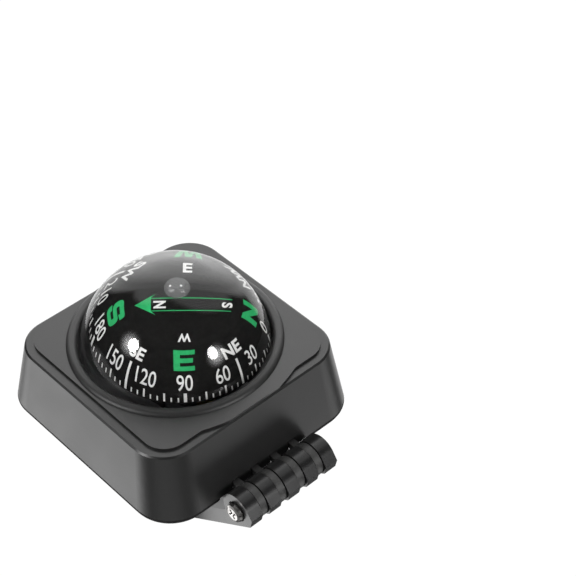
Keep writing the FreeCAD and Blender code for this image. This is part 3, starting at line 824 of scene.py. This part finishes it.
def flat_text(text, height, stretch, weight):
    """Letters as flat faces about their middle, with capitals of one height."""
    curve = bpy.data.curves.new("letters", "FONT")
    curve.body = text
    curve.offset = weight
    curve.resolution_u = 8
    holder = bpy.data.objects.new("letters", curve)
    bpy.context.collection.objects.link(holder)
    bpy.context.view_layer.update()
    mesh = bpy.data.meshes.new_from_object(holder.evaluated_get(bpy.context.evaluated_depsgraph_get()))
    bm = bmesh.new()
    bm.from_mesh(mesh)
    bpy.data.objects.remove(holder)
    bpy.data.curves.remove(curve)
    bpy.data.meshes.remove(mesh)
    bmesh.ops.remove_doubles(bm, verts=bm.verts, dist=0.0005)
    low = [min(v.co[axis] for v in bm.verts) for axis in (0, 1)]
    high = [max(v.co[axis] for v in bm.verts) for axis in (0, 1)]
    scale = height / (high[1] - low[1])
    for vert in bm.verts:
        vert.co.x = (vert.co.x - (low[0] + high[0]) / 2) * scale * stretch
        vert.co.y = (vert.co.y - (low[1] + high[1]) / 2) * scale
        vert.co.z = 0
    return bm


def upright_at(mark, run):
    """Artwork that reads from outside: its top is nearer the pole."""
    middle = mark_angle(mark)

    def bend(x, y, lift):
        here = run - y
        return on_dial(here, middle + x / dial_point(min(here, dial_run))[0], lift)

    return bend


def rose_at(mark, run):
    """Artwork on the crown whose top points outwards."""
    middle = mark_angle(mark)

    def bend(x, y, lift):
        away = run + y
        chart = Vector((away * math.cos(middle) + x * math.sin(middle),
                        away * math.sin(middle) - x * math.cos(middle)))
        return on_dial(chart.length, math.atan2(chart.y, chart.x), lift)

    return bend


number_height = 3.2
number_run = run_at_height(4.65)
number_stretch = 0.72
number_weight = 0.004
letter_weight = 0.03
green_run = crown_end + 0.45
tick_base = run_at_height(0.6)
between_height = 2.45
between_stretch = 1.03
between_run = run_at_height(7.85)
rose_height = 2.1

scale_mesh = bmesh.new()
for mark in range(0, 360, 5):
    half = 0.13
    length = 1.0
    if mark % 90 == 0:
        half = 0.3
        length = 2.0
    elif mark % 45 == 0:
        half = 0.24
        length = tick_base - run_at_height(6.15)
    elif mark % 15 == 0:
        half = 0.17
        length = 1.8
    print_flat(flat_bar(-half, half, -length / 2, length / 2), scale_mesh,
               upright_at(mark, tick_base - length / 2))
for mark in range(0, 360, 30):
    print_flat(flat_text(str(mark), number_height, number_stretch, number_weight), scale_mesh,
               upright_at(mark, number_run))
add_piece("dial_scale", smooth_mesh("dial_scale", scale_mesh), "card", [white_ink])

letter_mesh = bmesh.new()
for mark, text in ((45, "NE"), (133, "SE"), (225, "SW"), (315, "NW")):
    print_flat(flat_text(text, between_height, between_stretch, letter_weight), letter_mesh,
               upright_at(mark, between_run))
for mark, text, run, stretch in ((180, "N", 4.5, 0.83), (0, "S", 7.4, 0.98), (270, "E", 7.9, 1.2),
                                 (90, "W", 7.9, 0.75)):
    print_flat(flat_text(text, rose_height, stretch, letter_weight), letter_mesh, rose_at(mark, run))
add_piece("dial_letters", smooth_mesh("dial_letters", letter_mesh), "card", [white_ink])

cardinal_mesh = bmesh.new()
for mark, text in ((0, "N"), (90, "E"), (180, "S"), (270, "W")):
    print_flat(block_letter(text), cardinal_mesh, upright_at(mark, green_run))
add_piece("dial_cardinals", smooth_mesh("dial_cardinals", cardinal_mesh), "card",
          [green_ink])


def north_arrow():
    """Barbed head and two thin parallel lines, across the flat top."""
    tip = 8.79
    barb = 3.56
    notch = 2.8
    half_head = 2.3
    tail = -8.28
    line_low = 1.30
    line_high = 1.48
    target = bmesh.new()
    bend = rose_at(180, 0)
    head = [(0, tip), (-half_head, tip - barb), (-line_high, tip - notch), (line_high, tip - notch),
            (half_head, tip - barb)]
    print_flat(flat_outline(head), target, bend)
    for side in (-1, 1):
        low, high = sorted((side * line_low, side * line_high))
        print_flat(flat_bar(low, high, tail, tip - notch), target, bend)
    add_piece("north_arrow", smooth_mesh("north_arrow", target), "card", [green_ink])


north_arrow()


# Floor, sky and lamps

def direction(left_of_camera, elevation):
    """A direction by its bearing from the camera's, and its height over the horizon, in degrees."""
    bearing = math.atan2(back.y, back.x) - math.radians(left_of_camera)
    lift = math.radians(elevation)
    return Vector((math.cos(bearing) * math.cos(lift), math.sin(bearing) * math.cos(lift), math.sin(lift)))


def aligned(tree, way, axis):
    made = node(tree, "ShaderNodeVectorMath", operation="DOT_PRODUCT")
    link(tree, way, made.inputs[0])
    made.inputs[1].default_value = axis
    return made.outputs["Value"]


def ramp(tree, value, low, high, to_low, to_high):
    """Map a value's range to another in a straight line, without going past its ends."""
    made = node(tree, "ShaderNodeMapRange")
    link(tree, value, made.inputs["Value"])
    for name, number in (("From Min", low), ("From Max", high), ("To Min", to_low), ("To Max", to_high)):
        made.inputs[name].default_value = number
    return made.outputs["Result"]


def flat_sheet(name, corners, height, finish):
    bm = bmesh.new()
    bm.faces.new([bm.verts.new((x, y, height)) for x, y in corners])
    mesh = bpy.data.meshes.new(name)
    bm.to_mesh(mesh)
    bm.free()
    made = bpy.data.objects.new(name, mesh)
    bpy.context.collection.objects.link(made)
    mesh.materials.append(finish)
    return made


def floor():
    """A white light table that keeps the part's shadow. It lies low enough for the closed head,
    whose far edge swings down below the plate. Gloss sees the sky's lower half instead."""
    half_size_m = 2.5
    clearance = 0.5 * mm
    paper_white = (0.86, 0.86, 0.86, 1.0)
    swing = (shell_high.y - hinge_line.y) * math.sin(math.radians(closing_angle))
    height = hinge_line.z - swing - clearance
    finish = bpy.data.materials.new("floor_paper")
    finish.use_nodes = True
    tree = finish.node_tree
    tree.nodes.clear()
    out = tree.nodes.new("ShaderNodeOutputMaterial")
    paper = node(tree, "ShaderNodeBsdfDiffuse", Color=paper_white)
    bright = node(tree, "ShaderNodeEmission")
    path = tree.nodes.new("ShaderNodeLightPath")
    seen = maths(tree, "MAXIMUM", path.outputs["Is Camera Ray"], path.outputs["Is Transmission Ray"])
    link(tree, maths(tree, "ADD", maths(tree, "MULTIPLY", seen, seen_level - 1.0), 1.0),
         bright.inputs["Strength"])
    glow = maths(tree, "MAXIMUM", maths(tree, "MULTIPLY", seen, seen_floor),
                 maths(tree, "MULTIPLY", path.outputs["Is Diffuse Ray"], diffuse_floor))
    blend = tree.nodes.new("ShaderNodeMixShader")
    link(tree, glow, blend.inputs[0])
    link(tree, paper.outputs[0], blend.inputs[1])
    link(tree, bright.outputs[0], blend.inputs[2])
    link(tree, blend.outputs[0], out.inputs["Surface"])
    finish.cycles.emission_sampling = "NONE"
    corners = [(x * half_size_m, y * half_size_m) for x, y in ((-1, -1), (1, -1), (1, 1), (-1, 1))]
    made = flat_sheet("floor", corners, height, finish)
    made.visible_glossy = False


closing_angle = 36.0
seen_floor = 0.93
seen_level = 1.05
diffuse_floor = 0.75
floor()


def shade_under_part():
    """Painted shade: a dark sheet on the floor under the housing, standing for its shadow there, which
    gloss alone sees.
    """
    reach = 24 * mm
    drop = 0.2 * mm
    steps = 32
    height = cad_low.z - drop
    corners = []
    for step in range(steps):
        angle = 2 * math.pi * step / steps
        corners.append((head_origin.x + reach * math.cos(angle), head_origin.y + reach * math.sin(angle)))
    # The sheet borrows the bowl's near-black finish for the painted shade.
    made = flat_sheet("floor_shade", corners, height, bowl_finish)
    made.visible_camera = False
    made.visible_diffuse = False
    made.visible_transmission = False
    made.visible_shadow = False


shade_under_part()


def soft_spot(tree, way, axis, reach, level):
    """The wall that a lamp lights behind it: a round light that fades out, for gloss alone."""
    fade = 5.0
    rise = ramp(tree, aligned(tree, way, axis), math.cos(math.radians(reach)), 1.0, 0.0, 1.0)
    return maths(tree, "MULTIPLY", maths(tree, "POWER", rise, fade), level)


def sky():
    """White where the camera and clear pieces see it, and a plain low level for diffuse light.
    Gloss sees a broad bright panel on the far side, a dim ceiling over it, the light table on three
    sides, the lamps' soft edges and a dark rest."""
    fill_level = 0.25
    dark_level = 0.02
    # Each patch has its middle, the cosines of the angles where it starts and is full, and its level
    patches = (
        (direction(-150, 50), 0.80, 0.90, 0.9),
        (direction(150, 55), 0.90, 0.96, 1.1),
        (direction(180, -25), 0.66, 0.78, 1.15),
        (direction(85, -32), 0.885, 0.93, 0.55),
        (direction(94, -43), 0.90, 0.985, 2.6),
        (direction(-86, -43), 0.92, 0.985, 2.0),
        (direction(0, -47), 0.80, 0.92, 0.6),
    )
    world = bpy.data.worlds.new("studio")
    bpy.context.scene.world = world
    world.use_nodes = True
    tree = world.node_tree
    tree.nodes.clear()
    out = tree.nodes.new("ShaderNodeOutputWorld")
    light = node(tree, "ShaderNodeBackground", Color=(1.0, 1.0, 1.0, 1.0))
    path = tree.nodes.new("ShaderNodeLightPath")
    way = tree.nodes.new("ShaderNodeTexCoord").outputs["Generated"]
    far = aligned(tree, way, direction(180, 20))
    gloss = maths(tree, "MULTIPLY", ramp(tree, far, 0.80, 0.93, 1.4, 2.8), spread(tree, far, 0.66, 0.75))
    for axis, low, high, level in patches:
        patch = spread(tree, aligned(tree, way, axis), low, high, 0.0, level)
        gloss = maths(tree, "MAXIMUM", gloss, patch)
    gloss = maths(tree, "ADD", gloss, dark_level)
    for axis, reach, level in lamp_glows:
        gloss = maths(tree, "ADD", gloss, soft_spot(tree, way, axis, reach, level))
    seen = maths(tree, "MAXIMUM", path.outputs["Is Camera Ray"], path.outputs["Is Transmission Ray"])
    glossy = maths(tree, "MULTIPLY", path.outputs["Is Glossy Ray"], maths(tree, "SUBTRACT", 1.0, seen))
    plain = maths(tree, "SUBTRACT", maths(tree, "SUBTRACT", 1.0, seen), glossy)
    level = maths(tree, "ADD", maths(tree, "MULTIPLY", glossy, gloss),
                  maths(tree, "MULTIPLY", plain, fill_level))
    link(tree, maths(tree, "ADD", level, seen), light.inputs["Strength"])
    link(tree, light.outputs[0], out.inputs["Surface"])


left_lamp_way = direction(56.5, 30.1)
right_lamp_way = direction(-52.0, 22.7)
far_lamp_way = direction(180, 50)
lamp_glows = (
    (direction(62.0, 27.5), 19.0, 12.0),
    (direction(-55.5, 17.5), 18.0, 12.0),
)
sky()


def lamp(name, way, light_level, width, height):
    """An oval lamp aimed at the dome, its size in degrees. A white surface that faces it gets the
    given brightness."""
    distance_m = 0.6
    data = bpy.data.lights.new(name, "AREA")
    data.shape = "ELLIPSE"
    data.size = 2 * distance_m * math.tan(math.radians(width / 2))
    data.size_y = 2 * distance_m * math.tan(math.radians(height / 2))
    data.energy = light_level * math.pi * math.pi * distance_m ** 2
    made = bpy.data.objects.new(name, data)
    bpy.context.collection.objects.link(made)
    made.location = dome_centre + way * distance_m
    made.rotation_euler = way.to_track_quat("Z", "Y").to_euler()
    return made


lamp("lamp_left", left_lamp_way, 0.5, 13.6, 14.6)
lamp("lamp_right", right_lamp_way, 0.34, 12.0, 15.0)
far_lamp = lamp("lamp_far", far_lamp_way, 0.58, 40.0, 40.0)
far_lamp.visible_glossy = False
far_lamp.visible_transmission = False

bpy.context.scene.view_settings.view_transform = "Standard"
